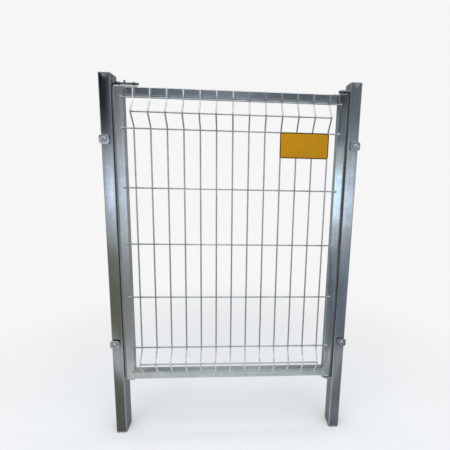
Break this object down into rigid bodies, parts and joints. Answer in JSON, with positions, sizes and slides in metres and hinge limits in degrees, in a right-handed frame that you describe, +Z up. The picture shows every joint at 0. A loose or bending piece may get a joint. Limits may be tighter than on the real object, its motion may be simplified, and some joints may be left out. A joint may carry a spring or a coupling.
{
  "type": "mesh fence gate",
  "caption": "Single-leaf fence gate: folded welded-wire mesh in a square-tube frame, hung on pivot pins between two posts, with a sliding top bolt and panel clamps.",
  "frame": {"origin": "midway between the posts, on the mid-plane of the leaf frame and of the pivot pins, level with the feet of the posts", "axes": "+Z up, +X to the right and +Y away from a viewer who stands on the side of the mesh folds"},
  "size_m": [0.894, 0.102, 1.34],
  "materials": {
    "galvanised_tube": "hot-dip galvanised, satin with soft streaks",
    "galvanised_wire": "galvanised drawn wire, satin",
    "zinc_plated_steel": "bright zinc plated",
    "cap_plastic": "moulded, fine matt",
    "yellow_plate": "yellow paint with a dark edge, otherwise bare"
  },
  "bodies": {
    "posts": {"left_post": "galvanised_tube", "right_post": "galvanised_tube", "left_post_cap": "cap_plastic", "right_post_cap": "cap_plastic", "top_hinge_plate": "galvanised_tube", "bottom_hinge_plate": "galvanised_tube", "top_pivot_pin": "zinc_plated_steel", "bottom_pivot_pin": "zinc_plated_steel", "top_pivot_spacer": "zinc_plated_steel", "bottom_pivot_washer": "zinc_plated_steel", "bolt_keeper": "galvanised_tube", "upper_left_clamp": "zinc_plated_steel", "lower_left_clamp": "zinc_plated_steel", "upper_right_clamp": "zinc_plated_steel", "lower_right_clamp": "zinc_plated_steel", "clamp_screws": "zinc_plated_steel", "clamp_rivet_nuts": "zinc_plated_steel"},
    "leaf": {"left_stile": "galvanised_tube", "right_stile": "galvanised_tube", "top_rail": "galvanised_tube", "bottom_rail": "galvanised_tube", "left_stile_foot": "galvanised_tube", "right_stile_foot": "galvanised_tube", "right_stile_head": "galvanised_tube", "mesh_uprights": "galvanised_wire", "mesh_level_wires": "galvanised_wire", "mesh_fold_wires": "galvanised_wire", "latch_plate": "galvanised_tube", "latch_guide_left": "galvanised_tube", "latch_guide_right": "galvanised_tube", "info_plate": "yellow_plate", "info_plate_saddles": "zinc_plated_steel"},
    "bolt": {"latch_bolt": "zinc_plated_steel", "latch_knob": "zinc_plated_steel"}
  },
  "joints": [
    {"name": "leaf_swing", "type": "hinge", "parent": "posts", "child": "leaf", "pos_m": [0.38, 0, 0.765], "axis": [0, 0, 1], "range_deg": [-90, 90]},
    {"name": "bolt_slide", "type": "slide", "parent": "leaf", "child": "bolt", "axis": [-1, 0, 0], "range_m": [0, 0.013]}
  ]
}
